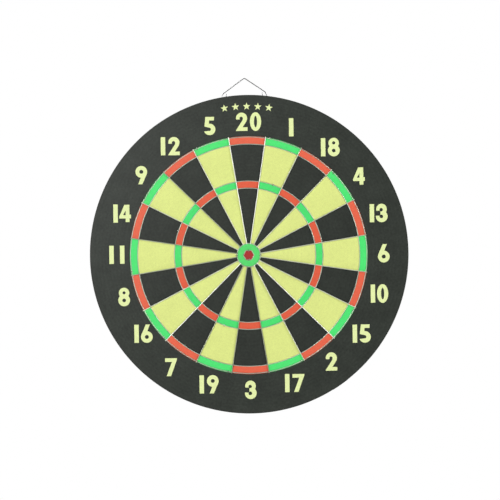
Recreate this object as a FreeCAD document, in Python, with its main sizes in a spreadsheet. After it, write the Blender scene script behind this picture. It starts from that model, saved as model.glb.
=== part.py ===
import FreeCAD, Part
import math
import os

import Sketcher

# A wall-hung dartboard: a wound paper disc with a printed face, a welded wire spider and a swinging wire hanger.
# +Z is up, the face looks towards -Y, and the origin is the centre of the flat rear facing.
# Face items are drawn in a face frame: x to the right, y up, z out of the face towards the player.

Vector = FreeCAD.Vector
Placement = FreeCAD.Placement
Rotation = FreeCAD.Rotation

# Driving dimensions in millimetres and degrees: alias, value, meaning.
SIZES = [
    ("board_radius", 228.6, "outside of the rim band, half of 18 inches"),
    ("band_thickness", 0.5, "rim band"),
    ("band_setback", 0.2, "rim band's front edge below the face"),
    ("core_thickness", 24.0, "width of the wound paper strip"),
    ("facing_thickness", 0.6, "flocked front sheet"),
    ("facing_round", 0.4, "rounded edge of the front sheet"),
    ("rear_facing_thickness", 0.4, "plain rear sheet"),
    ("rear_facing_radius", 205.0, "rear sheet stops short of the hanger's staples"),
    ("print_thickness", 0.15, "flock of the beds, numerals and stars"),
    ("face_drop", 1.3, "centre of the printed rings and the spider below the disc's centre"),
    ("face_shift", -0.7, "centre of the printed rings and the spider to the right of the disc's centre"),
    ("sector_angle", 18.0, "one of twenty beds"),
    ("double_outer", 169.35, "centreline of the outer double wire, 170 to its outside"),
    ("double_inner", 159.05, "centreline of the inner double wire"),
    ("treble_outer", 106.35, "centreline of the outer treble wire, 107 to its outside"),
    ("treble_inner", 96.05, "centreline of the inner treble wire"),
    ("outer_bull", 16.9, "centreline of the outer bull wire"),
    ("double_print_outer", 170.3, "outer edge of the printed doubles, just past their wire"),
    ("double_print_inner", 158.6, "inner edge of the printed doubles"),
    ("treble_print_outer", 106.6, "outer edge of the printed trebles"),
    ("treble_print_inner", 95.5, "inner edge of the printed trebles"),
    ("hexagon_corner", 7.8, "centre of the bull to a corner of the inner bull wire's centreline"),
    ("hexagon_bend", 1.6, "bend radius at the hexagon's corners"),
    ("wire_radius", 0.65, "spider wire"),
    ("wire_sink", 0.5, "depth that the staples pull the ring wires into the soft face"),
    ("staple_gap", 0.02, "staple crowns above the wires that they hold"),
    ("weld_bite", 0.1, "how far a radial wire is pressed into a ring where they are welded"),
    ("radial_root", 15.9, "inner end of a radial wire"),
    ("radial_tip", 170.9, "cut outer end of a radial wire"),
    ("numeral_radius", 192.8, "centre of the board to the middle of a numeral"),
    ("numeral_shift", 3.0, "numerals are printed this far right of the rings' centre"),
    ("numeral_lift", 0.3, "numerals are printed this far above the rings' centre"),
    ("numeral_turn", 0.43, "numerals are printed this many degrees clockwise of their beds"),
    ("digit_gap", 3.5, "between the two digits of a numeral"),
    ("star_radius", 5.6, "point of a header star"),
    ("star_waist", 0.42, "inner corner of a star as a part of its point radius"),
    ("star_ring", 213.0, "centre of the board to the middle of the header stars"),
    ("star_step", 4.3, "angle between header stars"),
    ("staple_wire", 0.45, "radius of the spider staples' wire"),
    ("staple_half", 1.5, "half the width of a spider staple between its legs' centrelines"),
    ("staple_leg", 9.0, "length of a spider staple's legs below the face"),
    ("staple_bend", 0.7, "bend radius of a spider staple's shoulders"),
    ("staple_offset", 1.8, "angle from a radial wire to the staple beside it"),
    ("hanger_wire", 0.65, "radius of the hanger wire"),
    ("hanger_shift", -2.5, "hanger's middle left of the board's centre"),
    ("hanger_plane", 0.5, "hanger wire's centreline behind the rear facing"),
    ("hanger_pivot", 221.5, "height of the hanger's swing axis"),
    ("hanger_apex", 256.0, "corner point of the hanger's top bend"),
    ("clench_wire", 0.5, "radius of the hanger staples' wire"),
    ("clench_half", 1.9, "half the height of a hanger staple between its legs' centrelines"),
    ("clench_leg", 12.0, "length of a hanger staple's legs in the core"),
    ("clench_gap", 0.15, "play between the hanger wire and its staple"),
]

WEDGES = 20
HEADER_STARS = 5
STAR_POINTS = 5
NUMBERS = (20, 1, 18, 4, 13, 6, 10, 15, 2, 17, 3, 19, 7, 16, 8, 11, 14, 9, 12, 5)
# Digit pairs that aren't set at the usual gap.
PAIR_GAPS = {"10": 2.6, "11": 8.9, "12": 4.2, "13": 2.4, "14": 2.0, "16": 3.0, "17": 4.4, "19": 4.2}
# The numbers were set by hand: how far each one sits right of and above its even place.
NUMERAL_NUDGES = {
    20: (-2.0, -2.0), 1: (-0.5, -1.0), 18: (1.5, -2.5), 4: (-0.5, -1.5), 13: (0.0, -1.0),
    6: (-2.5, 1.0), 10: (0.5, 3.0), 15: (2.0, -0.5), 2: (1.0, 2.5), 17: (2.0, -0.5),
    3: (-1.5, -0.5), 19: (-1.5, -1.5), 7: (-2.0, -4.0), 16: (1.5, 1.5), 8: (1.5, 0.5),
    11: (1.0, 1.5), 14: (-0.5, 1.0), 9: (0.0, 2.0), 12: (-1.0, 0.5), 5: (2.0, 1.5),
}
TREBLE_STAPLE_ANGLES = (20.0, 110.0, 200.0, 290.0)
BULL_STAPLE_ANGLES = (90.0, 270.0)
HEXAGON_STAPLE_ANGLES = (0.0, 180.0)

doc = FreeCAD.newDocument("dartboard")
sheet = doc.addObject("Spreadsheet::Sheet", "Sizes")
for row, (alias, value, meaning) in enumerate(SIZES, start=1):
    sheet.set("A{}".format(row), meaning)
    sheet.set("B{}".format(row), str(value))
    sheet.setAlias("B{}".format(row), alias)
doc.recompute()

parts = []


def size(alias):
    """A driving dimension, read from the sheet."""
    return float(sheet.get(alias))


def finished(item, name):
    """Give a finished sub-part its label and put it on the list of parts to write."""
    item.Label = name
    parts.append(item)
    return item


def face_level():
    """How far the front of the facing is in front of the origin."""
    return size("rear_facing_thickness") + size("core_thickness") + size("facing_thickness")


def face_frame(lift=0.0, clock=0.0):
    """Placement of the face frame, lifted off the face and turned clockwise by an angle."""
    centre = Vector(size("face_shift"), -face_level() - lift, -size("face_drop"))
    upright = Placement(centre, Rotation(Vector(1, 0, 0), 90))
    turned = Placement(Vector(0, 0, 0), Rotation(Vector(0, 0, 1), -clock))
    return upright.multiply(turned)


# ---------------------------------------------------------------- disc: core, facings and rim band


def disc_body(name, radius, thickness, back, bore=None):
    """A flat round body padded towards -Y from its back face, with an optional bore."""
    body = doc.addObject("PartDesign::Body", name)
    plane = [item for item in body.Origin.OriginFeatures if item.Role == "XZ_Plane"][0]
    sketch = body.newObject("Sketcher::SketchObject", name + "_outline")
    sketch.AttachmentSupport = (plane, [""])
    sketch.MapMode = "FlatFace"
    for index, expression in enumerate([radius] if bore is None else [radius, bore]):
        circle = sketch.addGeometry(Part.Circle(Vector(0, 0, 0), Vector(0, 0, 1), 10.0 - index))
        sketch.addConstraint(Sketcher.Constraint("Coincident", circle, 3, -1, 1))
        rule = sketch.addConstraint(Sketcher.Constraint("Radius", circle, 10.0 - index))
        sketch.setExpression("Constraints[{}]".format(rule), expression)
    pad = body.newObject("PartDesign::Pad", name + "_pad")
    pad.Profile = sketch
    pad.setExpression("Length", thickness)
    body.Tip = pad
    body.Placement = Placement(Vector(0, -back, 0), Rotation())
    doc.recompute()
    return body


def round_front_edge(body, radius):
    """Round the front rim of a flat round body."""
    pad = body.Tip
    front = min(edge.BoundBox.YMin for edge in pad.Shape.Edges)
    rims = []
    for number, edge in enumerate(pad.Shape.Edges, start=1):
        if edge.BoundBox.YMax - front < 0.01:
            rims.append("Edge{}".format(number))
    fillet = body.newObject("PartDesign::Fillet", body.Name + "_round")
    fillet.Base = (pad, rims)
    fillet.setExpression("Radius", radius)
    body.Tip = fillet


def make_disc():
    """The wound core, its front and rear sheets and the band around its edge."""
    core_radius = "Sizes.board_radius - Sizes.band_thickness"
    core_back = size("rear_facing_thickness")
    core_front = core_back + size("core_thickness")
    band_width = "Sizes.core_thickness + Sizes.facing_thickness - Sizes.band_setback"

    rear = disc_body("rear_facing", "Sizes.rear_facing_radius", "Sizes.rear_facing_thickness", 0.0)
    core = disc_body("wound_core", core_radius, "Sizes.core_thickness", core_back)
    front = disc_body("front_facing", core_radius, "Sizes.facing_thickness", core_front)
    round_front_edge(front, "Sizes.facing_round")
    band = disc_body("rim_band", "Sizes.board_radius", band_width, core_back, bore=core_radius)
    for body in (core, front, rear, band):
        finished(body, body.Name)


# ---------------------------------------------------------------- printed beds


def face_cylinder(name, radius, thickness, placement):
    """A cylinder standing on the face, bound to the sheet."""
    item = doc.addObject("Part::Cylinder", name)
    item.setExpression("Radius", radius)
    item.setExpression("Height", thickness)
    item.Placement = placement
    return item


def bed(name, outer, inner, wedge):
    """One bed of a wedge, between two radii."""
    start = 90.0 - size("sector_angle") / 2.0
    placement = face_frame(clock=wedge * size("sector_angle"))
    placement = placement.multiply(Placement(Vector(0, 0, 0), Rotation(Vector(0, 0, 1), start)))
    block = face_cylinder(name + "_block", outer, "Sizes.print_thickness", placement)
    block.setExpression("Angle", "Sizes.sector_angle")
    middle = face_cylinder(name + "_middle", inner, "Sizes.print_thickness", placement)
    cut = doc.addObject("Part::Cut", name)
    cut.Base = block
    cut.Tool = middle
    return cut


def bed_group(name, rings, wedges):
    """All beds of one colour as one node of separate solids, between pairs of named radii."""
    beds = []
    for outer, inner in rings:
        for wedge in wedges:
            title = "{}_{}_{}".format(name, outer, wedge)
            beds.append(bed(title, "Sizes." + outer, "Sizes." + inner, wedge))
    group = doc.addObject("Part::Compound", name)
    group.Links = beds
    finished(group, name)


def hexagon_prism(name):
    """The flat-topped hexagon that lies inside the inner bull wire's centreline."""
    prism = doc.addObject("Part::Prism", name)
    prism.Polygon = 6
    prism.setExpression("Circumradius", "Sizes.hexagon_corner")
    prism.setExpression("Height", "Sizes.print_thickness")
    prism.Placement = face_frame()
    return prism


def make_beds():
    """Coloured beds: even wedges are charcoal with red rings, odd wedges yellow with green rings."""
    odd = range(1, WEDGES, 2)
    even = range(0, WEDGES, 2)
    doubles = ("double_print_outer", "double_print_inner")
    trebles = ("treble_print_outer", "treble_print_inner")
    bed_group("yellow_beds", [(doubles[1], trebles[0]), (trebles[1], "outer_bull")], odd)
    bed_group("green_doubles", [doubles], odd)
    bed_group("red_doubles", [doubles], even)
    bed_group("green_trebles", [trebles], odd)
    bed_group("red_trebles", [trebles], even)

    ring = doc.addObject("Part::Cut", "outer_bull_bed")
    ring.Base = face_cylinder("outer_bull_disc", "Sizes.outer_bull", "Sizes.print_thickness", face_frame())
    ring.Tool = hexagon_prism("outer_bull_hole")
    finished(ring, "outer_bull_bed")
    finished(hexagon_prism("inner_bull_bed"), "inner_bull_bed")


# ---------------------------------------------------------------- numerals and header stars


def flat_prism(points):
    """A prism of the print's thickness on a closed outline."""
    corners = [Vector(x, y, 0) for x, y in points]
    outline = Part.makePolygon(corners + corners[:1])
    return Part.Face(outline).extrude(Vector(0, 0, size("print_thickness")))


def flat_disc(x, y, radius):
    """A round prism of the print's thickness."""
    return Part.makeCylinder(radius, size("print_thickness"), Vector(x, y, 0))


def flat_oval(half_width, half_height):
    """An upright oval prism of the print's thickness."""
    oval = Part.Ellipse(Vector(0, half_height, 0), Vector(half_width, 0, 0), Vector(0, 0, 0)).toShape()
    return Part.Face(Part.Wire([oval])).extrude(Vector(0, 0, size("print_thickness")))


def digit_zero():
    return flat_oval(8.1, 13.4).cut(flat_oval(2.2, 8.2))


def digit_one():
    return flat_prism([(-3.2, -13.0), (3.2, -13.0), (3.2, 13.0), (-3.2, 13.0)])


def digit_two():
    bowl = flat_disc(-0.1, 5.1, 8.0)
    bowl = bowl.cut(flat_prism([(-10.0, -4.0), (9.0, -4.0), (9.0, 3.4), (-10.0, 3.4)]))
    foot = flat_prism([
        (-8.3, -13.1), (8.2, -13.1), (8.2, -7.9), (1.2, -7.9), (6.9, 0.8), (7.8, 3.6), (1.8, 4.8), (1.2, 2.2),
        (-8.3, -12.2),
    ])
    return bowl.fuse(foot).cut(flat_disc(-0.6, 4.8, 2.4))


def digit_three():
    body = flat_disc(0.0, 5.7, 7.6).fuse(flat_disc(0.2, -4.7, 8.4))
    mouth = flat_prism([(-10.0, -3.7), (-1.7, -3.7), (-1.7, 3.4), (-10.0, 3.4)])
    return body.cut(mouth).cut(flat_disc(-0.5, 4.9, 2.4)).cut(flat_disc(-0.4, -4.8, 2.6))


def digit_four():
    body = flat_prism([
        (-0.9, 12.4), (6.3, 12.4), (6.3, -1.8), (8.4, -1.8), (8.4, -7.2), (6.3, -7.2), (6.3, -12.4),
        (0.8, -12.4), (0.8, -7.2), (-8.4, -7.2), (-8.4, -4.4),
    ])
    return body.cut(flat_prism([(0.8, 4.2), (0.8, -2.4), (-2.9, -2.4)]))


def digit_five():
    bowl = flat_disc(-0.1, -4.8, 8.3)
    bowl = bowl.cut(flat_prism([(-10.0, 0.2), (-0.4, -2.4), (-0.4, -6.8), (-10.0, -8.0)]))
    bowl = bowl.cut(flat_disc(-0.5, -4.7, 2.3))
    stem = flat_prism([(-5.9, 13.1), (6.7, 13.1), (6.3, 8.0), (-0.8, 8.0), (-1.1, -2.2), (-7.5, -0.6)])
    return bowl.fuse(stem)


def digit_six():
    stem = flat_prism([(-7.9, -1.6), (-1.3, 13.2), (4.6, 13.2), (0.6, 3.0), (0.0, -3.0)])
    return flat_disc(0.0, -4.7, 8.4).fuse(stem).cut(flat_disc(0.0, -4.7, 2.8))


def digit_seven():
    return flat_prism([
        (-8.5, 12.8), (8.5, 12.8), (8.5, 10.9), (-0.2, -12.8), (-6.4, -12.8), (1.2, 7.5), (-8.5, 7.5),
    ])


def digit_eight():
    body = flat_disc(0.0, 5.8, 7.5).fuse(flat_disc(0.0, -4.7, 8.5))
    return body.cut(flat_disc(0.0, 6.0, 2.2)).cut(flat_disc(0.0, -4.9, 2.6))


def digit_nine():
    six = digit_six()
    six.rotate(Vector(0, 0, 0), Vector(0, 0, 1), 180)
    return six


DIGITS = {
    "0": digit_zero, "1": digit_one, "2": digit_two, "3": digit_three, "4": digit_four,
    "5": digit_five, "6": digit_six, "7": digit_seven, "8": digit_eight, "9": digit_nine,
}


def numeral(text, glyphs):
    """The digits of one number, side by side and centred on the origin."""
    gap = PAIR_GAPS.get(text, size("digit_gap"))
    boxes = [glyphs[digit].BoundBox for digit in text]
    width = sum(box.XLength for box in boxes) + gap * (len(text) - 1)
    left = -width / 2.0
    shapes = []
    for digit, box in zip(text, boxes):
        shape = glyphs[digit].copy()
        shape.translate(Vector(left - box.XMin, 0, 0))
        shapes.append(shape)
        left += box.XLength + gap
    return shapes


def shape_part(name, shapes, placement):
    """A sub-part of separate solids whose outline is cut, not turned or milled."""
    item = doc.addObject("Part::Feature", name)
    item.Shape = shapes[0] if len(shapes) == 1 else Part.makeCompound(shapes)
    item.Placement = placement
    return finished(item, name)


def make_numerals():
    """Twenty numbers, each upright, on a ring a little off the beds' centre."""
    glyphs = {}
    for digit, draw in DIGITS.items():
        glyphs[digit] = draw().removeSplitter().Solids[0]
    shapes = []
    for wedge, number in enumerate(NUMBERS):
        angle = math.radians(wedge * size("sector_angle") + size("numeral_turn"))
        middle = Vector(math.sin(angle), math.cos(angle), 0) * size("numeral_radius")
        right, up = NUMERAL_NUDGES[number]
        for shape in numeral(str(number), glyphs):
            shape.translate(middle + Vector(size("numeral_shift") + right, size("numeral_lift") + up, 0))
            shapes.append(shape)
    shape_part("numerals", shapes, face_frame())


def star_outline():
    """Corners of a five-pointed star, point up."""
    points = []
    for corner in range(2 * STAR_POINTS):
        reach = size("star_radius") * (size("star_waist") if corner % 2 else 1.0)
        angle = math.pi * corner / STAR_POINTS
        points.append((reach * math.sin(angle), reach * math.cos(angle)))
    return points


def make_header_stars():
    """A short arc of plain stars above the top number."""
    shapes = []
    for index in range(HEADER_STARS):
        clock = (index - (HEADER_STARS - 1) / 2.0) * size("star_step")
        star = flat_prism(star_outline())
        star.translate(Vector(0, size("star_ring"), 0))
        star.rotate(Vector(0, 0, 0), Vector(0, 0, 1), -clock)
        shapes.append(star)
    shape_part("header_stars", shapes, face_frame())


# ---------------------------------------------------------------- bent wire


def bent_path(points, bends, closed=False):
    """Straight runs through the points, joined by tangent arcs of the given bend radii."""
    count = len(points)
    corners = range(count) if closed else range(1, count - 1)
    starts = {}
    ends = {}
    arcs = {}
    for index in corners:
        corner = points[index]
        back = (points[index - 1] - corner).normalize()
        ahead = (points[(index + 1) % count] - corner).normalize()
        half = back.getAngle(ahead) / 2.0
        reach = bends[index] / math.tan(half)
        middle = (back + ahead).normalize()
        crown = corner + middle * (bends[index] / math.sin(half) - bends[index])
        ends[index] = corner + back * reach
        starts[index] = corner + ahead * reach
        arcs[index] = Part.Arc(ends[index], crown, starts[index]).toShape()
    edges = []
    for index in range(count if closed else count - 1):
        following = (index + 1) % count
        run_start = starts.get(index, points[index])
        run_end = ends.get(following, points[following])
        edges.append(Part.LineSegment(run_start, run_end).toShape())
        if following in arcs:
            edges.append(arcs[following])
    return Part.Wire(edges)


def bent_wire(points, bends, radius, closed=False):
    """A round wire swept along a bent path."""
    path = bent_path(points, bends, closed)
    first = path.Edges[0]
    direction = first.tangentAt(first.FirstParameter)
    circle = Part.Circle(first.valueAt(first.FirstParameter), direction, radius).toShape()
    solid = path.makePipeShell([Part.Wire([circle])], True, False)
    expected = math.pi * radius * radius * path.Length
    if abs(solid.Volume / expected - 1.0) > 0.02:
        raise ValueError("a bent wire's volume is not its section times its length")
    return solid


def ring_level():
    """Height of the ring wires' centrelines above the face."""
    return size("print_thickness") - size("wire_sink") + size("wire_radius")


def make_ring_wires():
    """Five round rings and the hexagonal inner bull wire, all pulled down into the face."""
    names = {
        "wire_double_outer": "double_outer",
        "wire_double_inner": "double_inner",
        "wire_treble_outer": "treble_outer",
        "wire_treble_inner": "treble_inner",
        "wire_outer_bull": "outer_bull",
    }
    for name, alias in names.items():
        ring = doc.addObject("Part::Torus", name)
        ring.setExpression("Radius1", "Sizes." + alias)
        ring.setExpression("Radius2", "Sizes.wire_radius")
        ring.Placement = face_frame(ring_level())
        finished(ring, name)

    corners = []
    for corner in range(6):
        angle = math.radians(60.0 * corner)
        corners.append(Vector(math.cos(angle), math.sin(angle), 0) * size("hexagon_corner"))
    bends = [size("hexagon_bend")] * len(corners)
    hexagon = bent_wire(corners, bends, size("wire_radius"), closed=True)
    shape_part("wire_inner_bull", [hexagon], face_frame(ring_level()))


def make_radial_wires():
    """Twenty straight wires, welded on top of the rings between the wedges."""
    level = ring_level() + 2.0 * size("wire_radius") - size("weld_bite")
    lying = Placement(Vector(0, size("radial_root"), 0), Rotation(Vector(1, 0, 0), -90))
    for wedge in range(WEDGES):
        name = "radial_wire_{:02d}".format(wedge + 1)
        clock = (wedge + 0.5) * size("sector_angle")
        wire = doc.addObject("Part::Cylinder", name)
        wire.setExpression("Radius", "Sizes.wire_radius")
        wire.setExpression("Height", "Sizes.radial_tip - Sizes.radial_root")
        wire.Placement = face_frame(level, clock).multiply(lying)
        finished(wire, name)


def spider_staple(radius, clock):
    """A staple across a ring wire, its legs driven into the board."""
    half = size("staple_half")
    crown = ring_level() + size("wire_radius") + size("staple_gap") + size("staple_wire")
    points = [
        Vector(0, radius - half, -size("staple_leg")),
        Vector(0, radius - half, crown),
        Vector(0, radius + half, crown),
        Vector(0, radius + half, -size("staple_leg")),
    ]
    bends = [0.0, size("staple_bend"), size("staple_bend"), 0.0]
    staple = bent_wire(points, bends, size("staple_wire"))
    staple.rotate(Vector(0, 0, 0), Vector(0, 0, 1), -clock)
    return staple


def make_spider_staples():
    """Staples on the outer double ring, the outer treble ring and both bull wires."""
    flat = size("hexagon_corner") * math.cos(math.radians(30.0))
    sites = []
    for wedge in range(0, WEDGES, 2):
        sites.append((size("double_outer"), (wedge + 0.5) * size("sector_angle") + size("staple_offset")))
    sites += [(size("treble_outer"), clock) for clock in TREBLE_STAPLE_ANGLES]
    sites += [(size("outer_bull"), clock) for clock in BULL_STAPLE_ANGLES]
    sites += [(flat, clock) for clock in HEXAGON_STAPLE_ANGLES]
    shape_part("spider_staples", [spider_staple(*site) for site in sites], face_frame())


# ---------------------------------------------------------------- hanger


def hanger_points():
    """Corner points of the hanger wire from its left tip over the top to its right tip, with bend radii."""
    level = size("hanger_plane")
    middle = size("hanger_shift")
    pivot = size("hanger_pivot")
    corners = [
        (-27.2, 233.0, 0.0),
        (-27.8, pivot, 2.4),
        (-35.8, pivot, 2.4),
        (-32.2, 233.5, 2.5),
        (-1.1, size("hanger_apex"), 3.5),
        (28.8, 235.6, 4.0),
        (35.4, pivot, 2.6),
        (25.4, pivot, 2.6),
        (25.0, 234.8, 0.0),
    ]
    points = [Vector(middle + x, level, z) for x, z, bend in corners]
    return points, [bend for x, z, bend in corners]


def make_hanger():
    """The bail with a hook at each foot, and the two staples that it swings in."""
    points, bends = hanger_points()
    bail = bent_wire(points, bends, size("hanger_wire"))
    shape_part("hanger_wire", [bail], Placement())

    feet = {
        "hanger_staple_left": (points[1].x + points[2].x) / 2.0,
        "hanger_staple_right": (points[6].x + points[7].x) / 2.0,
    }
    half = size("clench_half")
    crown = size("hanger_plane") + size("hanger_wire") + size("clench_gap") + size("clench_wire")
    tip = -size("rear_facing_thickness") - size("clench_leg")
    for name, x in feet.items():
        corners = [
            Vector(x, tip, size("hanger_pivot") - half),
            Vector(x, crown, size("hanger_pivot") - half),
            Vector(x, crown, size("hanger_pivot") + half),
            Vector(x, tip, size("hanger_pivot") + half),
        ]
        staple = bent_wire(corners, [0.0, size("staple_bend"), size("staple_bend"), 0.0], size("clench_wire"))
        shape_part(name, [staple], Placement())


# ---------------------------------------------------------------- build, check and write


def check_and_write():
    """Stop if any object failed, then write one file for each part."""
    doc.recompute()
    for item in doc.Objects:
        if "Invalid" in item.State or "Error" in item.State:
            raise RuntimeError("failed object: " + item.Label)
    os.makedirs("parts", exist_ok=True)
    for item in parts:
        if item.Shape.isNull() or not item.Shape.isValid():
            raise RuntimeError("bad shape: " + item.Label)
        item.Shape.exportStep("parts/{}.step".format(item.Label))
        print(item.Label, len(item.Shape.Solids), round(item.Shape.Volume, 1))


make_disc()
make_beds()
make_numerals()
make_header_stars()
make_ring_wires()
make_radial_wires()
make_spider_staples()
make_hanger()
check_and_write()
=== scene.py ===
import math

import bmesh
import bpy
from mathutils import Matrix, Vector, noise


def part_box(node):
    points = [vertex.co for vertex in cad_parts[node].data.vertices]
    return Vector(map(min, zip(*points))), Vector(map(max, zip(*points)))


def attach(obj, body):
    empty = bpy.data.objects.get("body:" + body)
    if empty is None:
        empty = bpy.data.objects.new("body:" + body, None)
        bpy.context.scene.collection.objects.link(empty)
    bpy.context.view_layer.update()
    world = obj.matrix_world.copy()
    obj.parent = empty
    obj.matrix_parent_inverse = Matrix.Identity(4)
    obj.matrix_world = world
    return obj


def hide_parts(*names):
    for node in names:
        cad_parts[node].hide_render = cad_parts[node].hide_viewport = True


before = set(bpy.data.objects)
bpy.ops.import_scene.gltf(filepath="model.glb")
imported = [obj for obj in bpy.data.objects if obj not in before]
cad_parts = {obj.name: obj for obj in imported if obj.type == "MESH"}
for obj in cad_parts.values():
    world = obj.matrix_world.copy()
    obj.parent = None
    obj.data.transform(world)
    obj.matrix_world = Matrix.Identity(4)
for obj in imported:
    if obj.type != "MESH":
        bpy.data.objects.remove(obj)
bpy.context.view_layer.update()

MM = 0.001
TURN = 2.0 * math.pi
WHITE = (1.0, 1.0, 1.0, 1.0)

# Places of the two colours and the result among a colour mix node's sockets.
MIX_FIRST, MIX_SECOND, MIX_RESULT = 6, 7, 2

# ---------------------------------------------------------------- places read from the frame

BOARD_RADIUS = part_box("rim_band")[1].x
CORE_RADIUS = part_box("wound_core")[1].x
REAR_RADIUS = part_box("rear_facing")[1].x
FACE_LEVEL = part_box("front_facing")[0].y
CORE_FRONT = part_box("wound_core")[0].y
CORE_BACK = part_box("wound_core")[1].y
REAR_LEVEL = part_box("rear_facing")[1].y
TAPE_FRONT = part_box("rim_band")[0].y

WEDGES = 20
RADIALS = ["radial_wire_{:02d}".format(number) for number in range(1, WEDGES + 1)]
# All radial wires are the same steel: four carry a painted highlight in a light base colour, ten a weaker
# painted highlight, and the others painted shade in a dark base colour.
HIGHLIT_RADIALS = (1, 8, 13, 20)
HALF_LIT_RADIALS = (2, 3, 4, 5, 6, 7, 9, 14, 17, 19)
ROUND_RINGS = [
    "wire_double_outer", "wire_double_inner", "wire_treble_outer", "wire_treble_inner", "wire_outer_bull",
]

# Pitch of the wound strip, which also shows through the sheets glued over it.
COIL_TURNS = 20
COIL_INSIDE = REAR_RADIUS - 2.0 * MM
COIL_PITCH = (CORE_RADIUS - COIL_INSIDE) / COIL_TURNS


# ---------------------------------------------------------------- material helpers


def new_material(name):
    """An empty node material."""
    material = bpy.data.materials.new(name)
    material.use_nodes = True
    material.node_tree.nodes.clear()
    return material


def add_node(material, kind, inputs=None, **settings):
    """A node with its settings and unlinked inputs filled in."""
    node = material.node_tree.nodes.new(kind)
    for key, value in settings.items():
        setattr(node, key, value)
    for key, value in (inputs or {}).items():
        node.inputs[key].default_value = value
    return node


def link(material, source, output, target, socket):
    """Join two nodes, each socket given by its name or its place."""
    material.node_tree.links.new(source.outputs[output], target.inputs[socket])


def ramp(material, source, output, stops):
    """A colour ramp from (position, colour) stops, fed by another node."""
    node = add_node(material, "ShaderNodeValToRGB")
    elements = node.color_ramp.elements
    while len(elements) < len(stops):
        elements.new(0.5)
    for element, (position, colour) in zip(elements, stops):
        element.position = position
        element.color = colour
    link(material, source, output, node, "Fac")
    return node


def grain(material, scale, detail=3.0, roughness=0.6, stretch=(1.0, 1.0, 1.0)):
    """Noise fixed to the object, in features per metre, longer along any stretched axis."""
    place = add_node(material, "ShaderNodeTexCoord")
    mapping = add_node(material, "ShaderNodeMapping")
    mapping.inputs["Scale"].default_value = stretch
    settings = {"Scale": scale, "Detail": detail, "Roughness": roughness}
    node = add_node(material, "ShaderNodeTexNoise", settings)
    link(material, place, "Object", mapping, "Vector")
    link(material, mapping, "Vector", node, "Vector")
    return node


def coil_lines(material, pitch, wander):
    """Rings about the board's axis, one for each turn of the wound strip."""
    place = add_node(material, "ShaderNodeTexCoord")
    settings = {"Scale": TURN / (20.0 * pitch), "Distortion": wander, "Detail": 2.0, "Detail Scale": 0.6}
    node = add_node(material, "ShaderNodeTexWave", settings, wave_type="RINGS", rings_direction="Y")
    link(material, place, "Object", node, "Vector")
    return node


def unrolled(material):
    """Coordinates on the board's edge: distance round the rim, then distance across it."""
    place = add_node(material, "ShaderNodeTexCoord")
    split = add_node(material, "ShaderNodeSeparateXYZ")
    clock = add_node(material, "ShaderNodeMath", operation="ARCTAN2")
    around = add_node(material, "ShaderNodeMath", {1: BOARD_RADIUS}, operation="MULTIPLY")
    joined = add_node(material, "ShaderNodeCombineXYZ")
    link(material, place, "Object", split, "Vector")
    link(material, split, "X", clock, 0)
    link(material, split, "Z", clock, 1)
    link(material, clock, "Value", around, 0)
    link(material, around, "Value", joined, "X")
    link(material, split, "Y", joined, "Y")
    return joined


def threads(material, flat, direction, pitch):
    """Parallel threads along one direction of flat coordinates."""
    settings = {"Scale": TURN / (20.0 * pitch), "Distortion": 0.6, "Detail": 1.0, "Detail Scale": 0.3}
    node = add_node(material, "ShaderNodeTexWave", settings, wave_type="BANDS", bands_direction=direction)
    link(material, flat, "Vector", node, "Vector")
    return node


def mottle(material, source, spread):
    """Tones a little darker and a little lighter than white, from a noise."""
    return ramp(material, source, "Fac", [(0.3, grey(1.0 - spread)), (0.7, grey(1.0 + spread))])


def multiply(material, first, first_output, second, second_output):
    """The product of two colours."""
    node = add_node(material, "ShaderNodeMix", data_type="RGBA", blend_type="MULTIPLY")
    node.inputs["Factor"].default_value = 1.0
    link(material, first, first_output, node, MIX_FIRST)
    link(material, second, second_output, node, MIX_SECOND)
    return node


def bump(material, source, output, strength, distance, under=None):
    """A bump from a height, laid over another bump if one is given."""
    node = add_node(material, "ShaderNodeBump", {"Strength": strength, "Distance": distance})
    link(material, source, output, node, "Height")
    if under is not None:
        link(material, under, "Normal", node, "Normal")
    return node


def linear(red, green, blue):
    """Screen colour, 0 to 255, as scene-linear RGBA."""
    channels = []
    for value in (red, green, blue):
        part = value / 255.0
        channels.append(part / 12.92 if part <= 0.04045 else ((part + 0.055) / 1.055) ** 2.4)
    return (*channels, 1.0)


def shade(colour, factor):
    """A colour made lighter or darker."""
    return (*[channel * factor for channel in colour[:3]], 1.0)


def grey(level):
    """A neutral colour."""
    return (level, level, level, 1.0)


def finish_material(material, shader):
    """Join the shader to the material's output."""
    output = add_node(material, "ShaderNodeOutputMaterial")
    link(material, shader, "BSDF", output, "Surface")
    return material


def coat(material, colour, relief, settings):
    """Finish a material with a shader that takes a mixed colour and a bump."""
    shader = add_node(material, "ShaderNodeBsdfPrincipled", settings)
    link(material, colour, MIX_RESULT, shader, "Base Color")
    link(material, relief, "Normal", shader, "Normal")
    return finish_material(material, shader)


# ---------------------------------------------------------------- materials


def border_tone(material, border):
    """White within the double ring and a lighter tone on the number border outside it."""
    place = add_node(material, "ShaderNodeTexCoord")
    length = add_node(material, "ShaderNodeVectorMath", operation="LENGTH")
    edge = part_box("wire_double_outer")[1].x
    limits = {"From Min": edge - 1.0 * MM, "From Max": edge + 3.0 * MM, "To Min": 1.0, "To Max": border}
    tone = add_node(material, "ShaderNodeMapRange", limits)
    link(material, place, "Object", length, 0)
    link(material, length, "Value", tone, "Value")
    return tone


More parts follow.
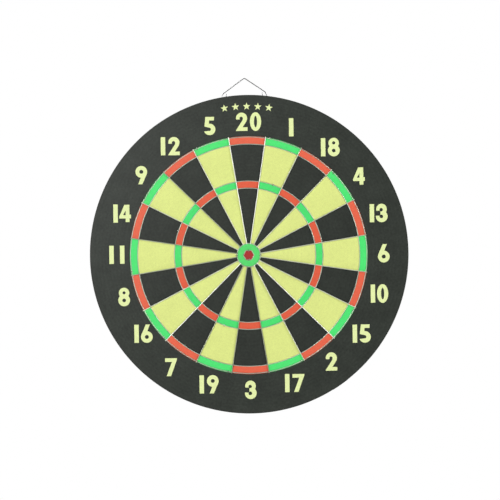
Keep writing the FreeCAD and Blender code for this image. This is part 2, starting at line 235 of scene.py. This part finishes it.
def flock(name, colour, roughness=0.42, gloss=0.16, depth=1.0, border=1.0):
    """Short dyed fibres: fine speckle, clumps, slow patches and a hint of the turns below."""
    material = new_material(name)
    fibres = grain(material, 2400.0)
    clumps = grain(material, 330.0, detail=5.0, roughness=0.65)
    patches = grain(material, 38.0, detail=4.0, roughness=0.55)
    turns = coil_lines(material, 4.0 * COIL_PITCH, 1.6)
    speckle = ramp(material, fibres, "Fac", [(0.3, shade(colour, 0.84)), (0.7, shade(colour, 1.12))])
    lumps = mottle(material, clumps, 0.06 * depth)
    cloud = mottle(material, patches, 0.04 * depth)
    lines = ramp(material, turns, "Fac", [(0.0, grey(1.0 - 0.02 * depth)), (0.6, WHITE)])
    base = multiply(material, speckle, "Color", lumps, "Color")
    base = multiply(material, base, MIX_RESULT, cloud, "Color")
    base = multiply(material, base, MIX_RESULT, lines, "Color")
    base = multiply(material, base, MIX_RESULT, border_tone(material, border), "Result")
    relief = bump(material, turns, "Fac", 0.1, 0.1 * MM)
    relief = bump(material, clumps, "Fac", 0.35, 0.15 * MM, relief)
    relief = bump(material, fibres, "Fac", 0.5, 0.15 * MM, relief)
    return coat(material, base, relief, {
        "Roughness": roughness,
        "Specular IOR Level": gloss,
        "Sheen Weight": 0.03,
        "Sheen Roughness": 0.6,
    })


def drawn_wire(name, colour, roughness, dullness=0.7, unevenness=0.1):
    """Galvanised drawn steel wire with dull and bright patches."""
    material = new_material(name)
    patches = grain(material, 260.0, detail=4.0)
    marks = grain(material, 1800.0, detail=2.0)
    tint = ramp(material, patches, "Fac", [(0.3, shade(colour, dullness)), (0.7, colour)])
    limits = {"To Min": roughness - unevenness, "To Max": roughness + unevenness}
    spread = add_node(material, "ShaderNodeMapRange", limits)
    link(material, patches, "Fac", spread, "Value")
    relief = bump(material, marks, "Fac", 0.08, 0.05 * MM)
    shader = add_node(material, "ShaderNodeBsdfPrincipled", {"Metallic": 1.0})
    link(material, tint, "Color", shader, "Base Color")
    link(material, spread, "Result", shader, "Roughness")
    link(material, relief, "Normal", shader, "Normal")
    return finish_material(material, shader)


def strip_edges():
    """Cut edges of the wound kraft strip, each turn a slightly different brown."""
    material = new_material("wound_paper")
    turns = coil_lines(material, COIL_PITCH, 0.4)
    bands = coil_lines(material, 2.6 * COIL_PITCH, 3.0)
    fibres = grain(material, 1800.0, detail=4.0)
    brown = linear(176, 146, 108)
    tones = [(0.1, shade(brown, 0.82)), (0.5, brown), (0.9, shade(brown, 1.15))]
    tint = ramp(material, bands, "Fac", tones)
    gaps = ramp(material, turns, "Fac", [(0.0, grey(0.45)), (0.3, WHITE)])
    speckle = ramp(material, fibres, "Fac", [(0.3, grey(0.8)), (0.7, WHITE)])
    base = multiply(material, tint, "Color", gaps, "Color")
    base = multiply(material, base, MIX_RESULT, speckle, "Color")
    relief = bump(material, fibres, "Fac", 0.6, 0.2 * MM)
    return coat(material, base, relief, {"Roughness": 0.9, "Specular IOR Level": 0.2})


def rear_paper():
    """Dark backing paper with pressed-through turns, cloudy glue marks and pale scuffs."""
    material = new_material("backing_paper")
    turns = coil_lines(material, 2.0 * COIL_PITCH, 2.4)
    glue = grain(material, 16.0, detail=5.0, roughness=0.6)
    scuffs = grain(material, 130.0, detail=6.0, roughness=0.7, stretch=(1.0, 1.0, 4.0))
    fibres = grain(material, 1500.0, detail=4.0)
    dark = linear(66, 64, 60)
    tint = ramp(material, glue, "Fac", [(0.35, shade(dark, 0.72)), (0.65, shade(dark, 1.25))])
    speckle = ramp(material, fibres, "Fac", [(0.3, grey(0.82)), (0.7, WHITE)])
    lines = ramp(material, turns, "Fac", [(0.0, grey(0.84)), (0.5, WHITE)])
    base = multiply(material, tint, "Color", speckle, "Color")
    base = multiply(material, base, MIX_RESULT, lines, "Color")
    worn = ramp(material, scuffs, "Fac", [(0.6, grey(0.0)), (0.72, grey(1.0))])
    lighter = add_node(material, "ShaderNodeMix", data_type="RGBA", blend_type="MIX")
    link(material, worn, "Color", lighter, "Factor")
    link(material, base, MIX_RESULT, lighter, MIX_FIRST)
    lighter.inputs[MIX_SECOND].default_value = linear(104, 99, 92)
    relief = bump(material, turns, "Fac", 0.5, 0.2 * MM)
    relief = bump(material, fibres, "Fac", 0.4, 0.1 * MM, relief)
    return coat(material, lighter, relief, {"Roughness": 0.72, "Specular IOR Level": 0.35})


def woven_tape():
    """Black cloth-backed tape: a plain weave along and across, long creases and a satin coat."""
    material = new_material("edge_tape")
    flat = unrolled(material)
    warp = threads(material, flat, "Y", 0.8 * MM)
    weft = threads(material, flat, "X", 1.0 * MM)
    creases = add_node(material, "ShaderNodeTexNoise", {"Scale": 60.0, "Detail": 6.0, "Roughness": 0.6})
    link(material, flat, "Vector", creases, "Vector")
    black = linear(42, 43, 42)
    tones = [(0.3, shade(black, 0.65)), (0.5, black), (0.72, shade(black, 1.6))]
    tint = ramp(material, creases, "Fac", tones)
    along = ramp(material, warp, "Fac", [(0.0, grey(0.6)), (0.6, WHITE)])
    across = ramp(material, weft, "Fac", [(0.0, grey(0.6)), (0.6, WHITE)])
    base = multiply(material, tint, "Color", along, "Color")
    base = multiply(material, base, MIX_RESULT, across, "Color")
    relief = bump(material, creases, "Fac", 0.35, 0.6 * MM)
    relief = bump(material, warp, "Fac", 0.5, 0.1 * MM, relief)
    relief = bump(material, weft, "Fac", 0.5, 0.1 * MM, relief)
    return coat(material, base, relief, {"Roughness": 0.62, "Specular IOR Level": 0.2})


def dress(material, *nodes):
    """Give CAD nodes a material."""
    for name in nodes:
        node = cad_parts[name]
        node.data.materials.clear()
        node.data.materials.append(material)


CHARCOAL = linear(44, 48, 43)
YELLOW = linear(216, 226, 134)
PALE_YELLOW = linear(224, 235, 167)
DOUBLE_GREEN = linear(78, 224, 115)
# The treble green is the double green a little darker: the same flock with painted shade.
SHADED_TREBLE_GREEN = linear(74, 218, 111)
BULL_GREEN = linear(87, 213, 109)
DOUBLE_RED = linear(225, 100, 73)
# The treble red is the double red a little darker: the same flock with painted shade.
SHADED_TREBLE_RED = linear(220, 92, 64)
BULL_RED = linear(165, 50, 47)

charcoal_flock = flock("charcoal_flock", CHARCOAL, depth=3.4, border=1.16)
# The ring wire's yellow-green cast is a painted reflection of the yellow and green beds beside it.
spider_steel = drawn_wire("spider_wire", (0.53, 0.59, 0.49, 1.0), 0.42, dullness=0.85, unevenness=0.04)
# The next three steel colours are one steel with a painted highlight, a weaker painted highlight and
# painted shade; their yellow-olive cast is a painted reflection of the beds.
highlit_steel = drawn_wire("highlit_spider_wire", (0.96, 0.97, 0.90, 1.0), 0.5, dullness=0.9)
half_lit_steel = drawn_wire("half_lit_spider_wire", (0.74, 0.77, 0.62, 1.0), 0.5, dullness=0.85)
shaded_steel = drawn_wire("shaded_spider_wire", (0.46, 0.49, 0.37, 1.0), 0.44, dullness=0.85)
weld_steel = drawn_wire("weld_steel", (0.46, 0.46, 0.44, 1.0), 0.4)
staple_steel = drawn_wire("staple_steel", (0.62, 0.62, 0.60, 1.0), 0.25)
rear_staple_steel = drawn_wire("staple_steel_rear", (0.5, 0.5, 0.48, 1.0), 0.32)
hanger_steel = drawn_wire("hanger_steel", (0.34, 0.34, 0.34, 1.0), 0.38, dullness=0.6)
dress(charcoal_flock, "front_facing")
dress(flock("yellow_flock", YELLOW, depth=0.6), "yellow_beds")
dress(flock("yellow_ink", PALE_YELLOW, depth=0.5), "numerals", "header_stars")
dress(flock("double_green_flock", DOUBLE_GREEN, depth=0.6), "green_doubles")
dress(flock("shaded_treble_green_flock", SHADED_TREBLE_GREEN, depth=0.6), "green_trebles")
dress(flock("bull_green_flock", BULL_GREEN, depth=0.6), "outer_bull_bed")
dress(flock("double_red_flock", DOUBLE_RED, depth=0.6), "red_doubles")
dress(flock("shaded_treble_red_flock", SHADED_TREBLE_RED, depth=0.6), "red_trebles")
dress(flock("bull_red_flock", BULL_RED, depth=0.6), "inner_bull_bed")
# The inner bull wire gets the darkest steel colour, painted shade.
dress(shaded_steel, "wire_inner_bull")
# Each radial wire gets its painted highlight or painted shade steel colour.
for number, name in enumerate(RADIALS, start=1):
    if number in HIGHLIT_RADIALS:
        dress(highlit_steel, name)
    elif number in HALF_LIT_RADIALS:
        dress(half_lit_steel, name)
    else:
        dress(shaded_steel, name)
dress(staple_steel, "spider_staples")
dress(rear_staple_steel, "hanger_staple_left", "hanger_staple_right")
dress(hanger_steel, "hanger_wire")


# ---------------------------------------------------------------- mesh helpers


def mesh_piece(name, mesh_data, material, replaced=None):
    """A finished mesh that rides on the board."""
    mesh = bpy.data.meshes.new(name)
    mesh_data.to_mesh(mesh)
    mesh_data.free()
    piece = bpy.data.objects.new(name, mesh)
    bpy.context.collection.objects.link(piece)
    mesh.materials.append(material)
    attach(piece, "board")
    if replaced is not None:
        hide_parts(replaced)
    return piece


def sweep_rows(place, columns, rows):
    """A grid of quads from place(column, row), with doubled points merged."""
    grid = bmesh.new()
    points = []
    for column in range(columns + 1):
        points.append([grid.verts.new(place(column, row)) for row in range(rows)])
    for here, beyond in zip(points, points[1:]):
        for row in range(rows - 1):
            grid.faces.new((here[row], here[row + 1], beyond[row + 1], beyond[row]))
    bmesh.ops.remove_doubles(grid, verts=grid.verts, dist=0.002 * MM)
    bmesh.ops.dissolve_degenerate(grid, dist=0.001 * MM, edges=grid.edges)
    bmesh.ops.recalc_face_normals(grid, faces=grid.faces)
    return grid


def on_circle(radius, angle, level):
    """A point at a clock angle about the board's axis."""
    return Vector((radius * math.sin(angle), level, radius * math.cos(angle)))


def wander(value, seed):
    """A slow, repeatable unevenness between about -1 and 1."""
    return noise.noise(Vector((value, seed, 0.5 * seed)))


def smooth(piece, angle):
    """Smooth shading, with edges sharper than an angle kept."""
    piece.data.polygons.foreach_set("use_smooth", [True] * len(piece.data.polygons))
    piece.data.set_sharp_from_angle(angle=math.radians(angle))


# ---------------------------------------------------------------- wound core


def make_core():
    """The wound strip: its turns stand out as a spiral round the bare border of the back."""
    columns = 360
    groove = 0.45 * MM
    crown = 0.06 * MM
    uneven = 0.16 * MM
    near = 0.01 * MM
    # Each turn's section: part of the pitch, and height over the strip's edge.
    profile = [(0.0, -groove), (0.16, 0.0), (0.5, crown), (0.84, 0.0)]
    rows = 4 + len(profile) * COIL_TURNS

    def place(column, row):
        angle = TURN * column / columns
        if row == 0:
            return on_circle(0.0, angle, CORE_FRONT)
        if row == 1:
            return on_circle(CORE_RADIUS, angle, CORE_FRONT)
        if row == rows - 1:
            return on_circle(0.0, angle, CORE_BACK)
        if row == rows - 2:
            return on_circle(COIL_INSIDE, angle, CORE_BACK - groove)
        step = rows - 3 - row
        start, height = profile[step % len(profile)]
        turns = step // len(profile) + start + column / columns
        radius = COIL_INSIDE + turns * COIL_PITCH
        if radius >= CORE_RADIUS - near:
            return on_circle(CORE_RADIUS, angle, CORE_BACK - groove)
        if radius <= COIL_INSIDE + near:
            return on_circle(COIL_INSIDE, angle, CORE_BACK - groove)
        level = CORE_BACK - crown + height - uneven * (0.5 + 0.5 * wander(2.3 * turns, 4.0))
        return on_circle(radius, angle, level)

    grid = sweep_rows(place, columns, rows)
    core = mesh_piece("coiled_core", grid, strip_edges(), "wound_core")
    smooth(core, 32.0)


# ---------------------------------------------------------------- edge tape


def make_tape():
    """One turn of cloth tape round the edge, its end lapped over its start."""
    columns = 400
    lap = math.radians(6.0)
    step_up = math.radians(1.2)
    start = math.radians(143.0)
    thickness = 0.22 * MM
    across = 14
    rows = 2 * across + 1

    def place(column, row):
        along = (TURN + lap) * column / columns
        angle = start + along
        climb = min(max((along - TURN + step_up) / step_up, 0.0), 1.0)
        layer = thickness * 1.05 * climb * climb * (3.0 - 2.0 * climb)
        outside = row < across
        place_across = row if outside else rows - 2 - row
        if row == rows - 1:
            outside, place_across = True, 0
        part = place_across / (across - 1)
        level = TAPE_FRONT + (CORE_BACK - TAPE_FRONT) * part
        level += 0.12 * MM * wander(9.0 * along, 7.0) * (part - 0.5)
        crease = 0.025 * MM * wander(30.0 * along + 1.5 * math.sin(5.0 * part), 11.0)
        inner = CORE_RADIUS + layer
        edge = 0.35 if place_across in (0, across - 1) else 1.0
        radius = inner + (thickness * edge + crease if outside else 0.0)
        return on_circle(min(radius, BOARD_RADIUS), angle, level)

    strip = bmesh.new()
    loops = []
    for column in range(columns + 1):
        loops.append([strip.verts.new(place(column, row)) for row in range(rows - 1)])
    count = rows - 1
    for here, beyond in zip(loops, loops[1:]):
        for row in range(count):
            after = (row + 1) % count
            strip.faces.new((here[row], here[after], beyond[after], beyond[row]))
    strip.faces.new(loops[0])
    strip.faces.new(list(reversed(loops[-1])))
    bmesh.ops.recalc_face_normals(strip, faces=strip.faces)
    tape = mesh_piece("lapped_edge_tape", strip, woven_tape(), "rim_band")
    smooth(tape, 40.0)


# ---------------------------------------------------------------- rear sheet


def make_rear_sheet():
    """The glued paper sheet on the back: not quite round, and pressed into swells by the turns below."""
    columns = 240
    rings = 150
    depth = 0.26 * MM
    swell = 9.0 * MM
    glued_level = CORE_BACK - 0.05 * MM

    def place(column, row):
        angle = TURN * column / columns
        around = Vector((math.sin(angle), math.cos(angle), 0.0))
        ragged = 0.35 * MM * (0.5 - 0.5 * noise.noise(around * 9.0))
        edge = REAR_RADIUS - ragged
        radius = edge * min(row, rings) / rings
        if row == rings + 1:
            return on_circle(edge, angle, glued_level)
        if row == rings + 2:
            return on_circle(0.0, angle, glued_level)
        spot = on_circle(radius, angle, 0.0)
        ripple = math.cos(TURN * radius / swell - angle) * (0.5 + noise.noise(spot * 14.0))
        cockles = noise.noise(spot * 20.0) + 0.4 * noise.noise(spot * 70.0)
        part = min(max(0.5 + 0.35 * ripple + 0.45 * cockles, 0.0), 1.0)
        return on_circle(radius, angle, REAR_LEVEL - depth * part)

    grid = sweep_rows(place, columns, rings + 3)
    sheet = mesh_piece("cockled_rear_sheet", grid, rear_paper(), "rear_facing")
    smooth(sheet, 50.0)


# ---------------------------------------------------------------- spider rings and welds


def ring_facts(name):
    """Centre, radius and wire radius of a round ring wire."""
    low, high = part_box(name)
    wire = (high.y - low.y) / 2.0
    return (low + high) / 2.0, (high.x - low.x) / 2.0 - wire, wire


def make_ring(number, name):
    """One ring of the spider, bent by hand, so that it bows in a little here and there."""
    columns = 600
    sides = 20
    bow = 0.07 * MM
    centre, radius, wire = ring_facts(name)

    def place(column, row):
        clock = TURN * column / columns
        side = TURN * row / sides
        bent = radius + bow * (noise.noise(on_circle(2.5, clock, 4.0 * number)) - 1.0)
        return centre + on_circle(bent + wire * math.cos(side), clock, wire * math.sin(side))

    grid = sweep_rows(place, columns, sides + 1)
    piece = mesh_piece("bent_" + name, grid, spider_steel, name)
    smooth(piece, 60.0)


def make_welds():
    """A small flattened nugget in each crossing of a radial wire and a ring."""
    welds = bmesh.new()
    segments = 10
    for ring_number, name in enumerate(ROUND_RINGS):
        centre, radius, wire = ring_facts(name)
        for wedge in range(WEDGES):
            clock = TURN * (wedge + 0.5) / WEDGES
            vary = wander(3.7 * wedge + 11.3 * ring_number, 2.0)
            spread = wire * (1.35 + 0.25 * vary)
            depth = wire * (0.62 + 0.1 * vary)
            touch = centre + on_circle(radius, clock, -wire)
            made = bmesh.ops.create_uvsphere(welds, u_segments=segments, v_segments=6, radius=1.0)
            for vert in made["verts"]:
                lump = 1.0 + 0.12 * noise.noise(vert.co * 1.7 + Vector((wedge, ring_number, 0.0)))
                across = vert.co * lump
                vert.co = touch + Vector((across.x * spread, across.z * depth, across.y * spread))
    bmesh.ops.recalc_face_normals(welds, faces=welds.faces)
    piece = mesh_piece("spider_welds", welds, weld_steel)
    smooth(piece, 180.0)


make_core()
make_tape()
make_rear_sheet()
for number, name in enumerate(ROUND_RINGS):
    make_ring(number, name)
make_welds()


# ---------------------------------------------------------------- stage, lights and camera


def make_floor():
    """A plain pale floor well below the hanging board, blending into a white glow towards its far edge."""
    level = -1.15
    reach = 2.6
    disc = bmesh.new()
    bmesh.ops.create_circle(disc, cap_ends=True, segments=96, radius=reach)
    mesh = bpy.data.meshes.new("floor")
    disc.to_mesh(mesh)
    disc.free()
    floor = bpy.data.objects.new("floor", mesh)
    floor.location = (0.0, 0.0, level)
    bpy.context.collection.objects.link(floor)

    material = new_material("pale_floor")
    place = add_node(material, "ShaderNodeTexCoord")
    length = add_node(material, "ShaderNodeVectorMath", operation="LENGTH")
    fade = add_node(material, "ShaderNodeMapRange", {"From Min": 0.3 * reach, "From Max": 0.95 * reach})
    paint = add_node(material, "ShaderNodeBsdfPrincipled", {"Base Color": grey(0.88), "Roughness": 0.85})
    glow = add_node(material, "ShaderNodeEmission", {"Color": WHITE, "Strength": 1.0})
    blend = add_node(material, "ShaderNodeMixShader")
    output = add_node(material, "ShaderNodeOutputMaterial")
    link(material, place, "Object", length, 0)
    link(material, length, "Value", fade, "Value")
    link(material, fade, "Result", blend, "Fac")
    link(material, paint, "BSDF", blend, 1)
    link(material, glow, "Emission", blend, 2)
    link(material, blend, "Shader", output, "Surface")
    mesh.materials.append(material)


def softbox(name, tilt, clock, distance, side, power):
    """A square area light facing the board, tilted off the face's axis towards a clock angle."""
    data = bpy.data.lights.new(name, "AREA")
    data.shape = "SQUARE"
    data.size = side
    data.energy = power
    item = bpy.data.objects.new(name, data)
    off_axis = math.sin(math.radians(tilt)) * distance
    level = -math.cos(math.radians(tilt)) * distance
    item.location = on_circle(off_axis, math.radians(clock), level)
    item.rotation_euler = (-item.location).to_track_quat("-Z", "Y").to_euler()
    bpy.context.collection.objects.link(item)


def make_world():
    """White behind everything, and a much weaker white glow on the surfaces."""
    world = bpy.data.worlds.new("studio")
    bpy.context.scene.world = world
    world.use_nodes = True
    tree = world.node_tree
    tree.nodes.clear()
    path = tree.nodes.new("ShaderNodeLightPath")
    choose = tree.nodes.new("ShaderNodeMixShader")
    for socket, strength in ((1, 0.1), (2, 1.0)):
        glow = tree.nodes.new("ShaderNodeBackground")
        glow.inputs["Color"].default_value = WHITE
        glow.inputs["Strength"].default_value = strength
        tree.links.new(glow.outputs["Background"], choose.inputs[socket])
    output = tree.nodes.new("ShaderNodeOutputWorld")
    tree.links.new(path.outputs["Is Camera Ray"], choose.inputs["Fac"])
    tree.links.new(choose.outputs["Shader"], output.inputs["Surface"])


def make_camera():
    """Square on to the face, with the board hanging a little off level."""
    half_width = 358.0 * MM
    right, above = 1.2 * MM, 6.0 * MM
    upright, roll = math.radians(90.0), math.radians(0.83)
    data = bpy.data.cameras.new("camera")
    data.lens = 85.0
    data.sensor_width = 36.0
    distance = half_width * data.lens / (data.sensor_width / 2.0)
    camera = bpy.data.objects.new("camera", data)
    camera.location = (right, FACE_LEVEL - distance, above)
    camera.rotation_euler = (upright, roll, 0.0)
    bpy.context.collection.objects.link(camera)
    bpy.context.scene.camera = camera


# Name, tilt and clock angle in degrees, distance and side in metres, power in watts.
LIGHTS = (
    ("key", 26.0, 297.0, 2.4, 0.8, 34.2),
    ("fill", 55.0, 63.0, 2.2, 0.8, 22.0),
    ("back", 140.0, 320.0, 2.2, 0.9, 46.0),
    ("back_rake", 112.0, 80.0, 1.9, 0.4, 46.0),
)

make_floor()
make_world()
for light in LIGHTS:
    softbox(*light)
make_camera()
bpy.context.scene.view_settings.view_transform = "Standard"
